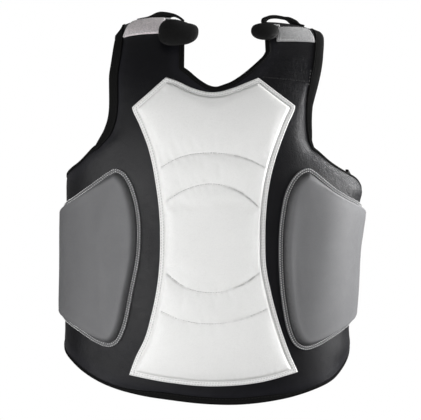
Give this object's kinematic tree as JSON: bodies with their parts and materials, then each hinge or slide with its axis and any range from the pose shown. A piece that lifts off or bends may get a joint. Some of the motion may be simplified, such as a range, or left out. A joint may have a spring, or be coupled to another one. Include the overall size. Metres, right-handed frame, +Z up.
{
  "type": "body protector",
  "caption": "Sleeveless padded trunk guard with an hourglass front strike pad, wrap-round side pads, padded shoulder straps and a plain rear belt, for contact sports training.",
  "frame": {"origin": "midway between the shoulders, level with the underside of the shoulder straps, where the vest sits on its wearer", "axes": "+Z up, the front of the vest faces -Y, +X to the right as seen from the front"},
  "size_m": [0.4246, 0.2746, 0.5295],
  "materials": {
    "black_leather": "fine-grained, satin",
    "white_leather": "fine-grained, satin",
    "grey_leather": "fine-grained, matt",
    "edge_tape": "ribbed tape, matt",
    "loop_patch": "loop pile, matt",
    "webbing": "woven, matt"
  },
  "bodies": {
    "root": {"shell": "black_leather", "center_pad": "white_leather", "side_pad_left": "grey_leather", "side_pad_right": "grey_leather", "binding_arm_left": "edge_tape", "binding_arm_right": "edge_tape", "binding_neck": "edge_tape", "binding_hem": "edge_tape", "shoulder_patch_left": "loop_patch", "shoulder_patch_right": "loop_patch", "shoulder_tab_left": "black_leather", "shoulder_tab_right": "black_leather", "strap_loop_left": "webbing", "strap_loop_right": "webbing", "wing_tab_right": "webbing", "back_strap_left": "webbing", "back_strap_right": "webbing", "back_belt": "webbing"}
  },
  "joints": []
}
